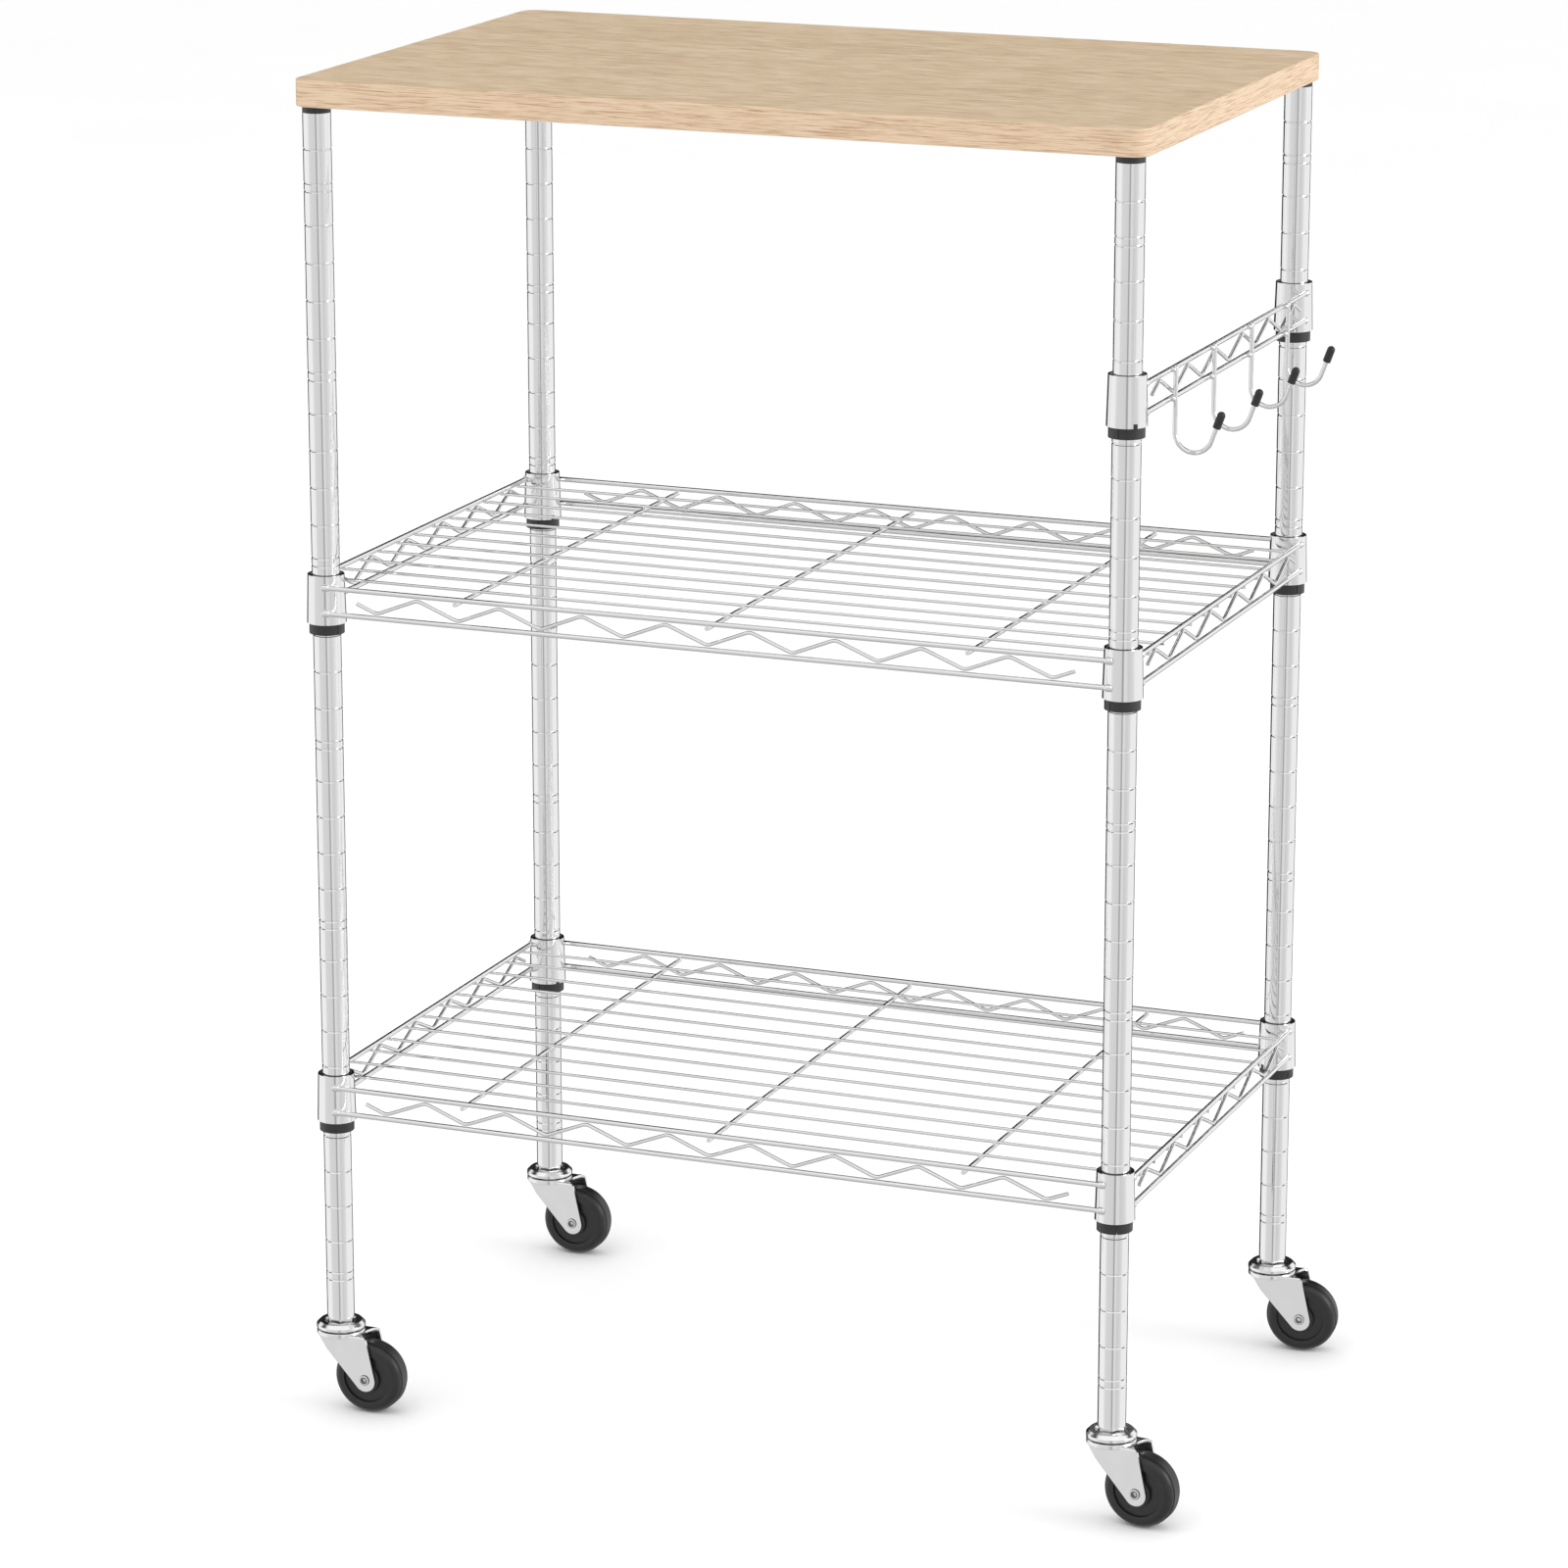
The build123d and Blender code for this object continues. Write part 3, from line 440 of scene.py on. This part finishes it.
# The ceiling is bright as far as overhead and dark beyond, and it and the floor meet the walls
# between these two heights of a mirrored ray.
wall_top, ceiling_start = 0.44, 0.58
bright_to, dark_from = -0.04, 0.14
behind = add(room_tree, "MapRange",
             {"interpolation_type": "SMOOTHSTEP", "From Min": bright_to, "From Max": dark_from},
             {"Value": (parts, "Y")})
ceiling = add(room_tree, "Mix", {"data_type": "RGBA", 6: (1.05, 1.05, 1.05, 1), 7: (0.03, 0.03, 0.03, 1)},
              {0: (behind, "Result")})
high_up = add(room_tree, "MapRange",
              {"interpolation_type": "SMOOTHSTEP", "From Min": wall_top, "From Max": ceiling_start},
              {"Value": (parts, "Z")})
low_down = add(room_tree, "MapRange",
               {"interpolation_type": "SMOOTHSTEP", "From Min": -wall_top, "From Max": -ceiling_start},
               {"Value": (parts, "Z")})
above = add(room_tree, "Mix", {"data_type": "RGBA"},
            {0: (high_up, "Result"), 6: (walls, "Color"), 7: (ceiling, 2)})
mirrored = add(room_tree, "Mix", {"data_type": "RGBA", 7: (0.52, 0.52, 0.52, 1)},
               {0: (low_down, "Result"), 6: (above, 2)})
rays = add(room_tree, "LightPath")
seen = add(room_tree, "Mix", {"data_type": "RGBA", 6: (1.07, 1.07, 1.07, 1)},
           {0: (rays, "Is Glossy Ray"), 7: (mirrored, 2)})
glow = add(room_tree, "Background", {"Strength": 1.0}, {"Color": (seen, 2)})
add(room_tree, "OutputWorld", {}, {"Surface": (glow, "Background")})


def softbox(name, place, target, size, watts):
    """A square light that faces a point."""
    data = bpy.data.lights.new(name, "AREA")
    data.shape, data.size, data.energy = "SQUARE", size, watts
    light = bpy.data.objects.new(name, data)
    light.location = place
    light.rotation_mode = "QUATERNION"
    light.rotation_quaternion = (Vector(target) - Vector(place)).to_track_quat("-Z", "Y")
    bpy.context.scene.collection.objects.link(light)
    return light


middle = (cad_low + cad_high) / 2
overhead = softbox("overhead_softbox", (-0.6, -0.8, 3.2), middle, 2.4, 14)
# It would burn out the worktop's sheen and the tops of the wires, so no mirrored ray sees it.
overhead.visible_glossy = False
softbox("right_softbox", (3.0, 0.3, 1.5), middle, 1.6, 26)

bpy.context.scene.view_settings.view_transform = "Standard"
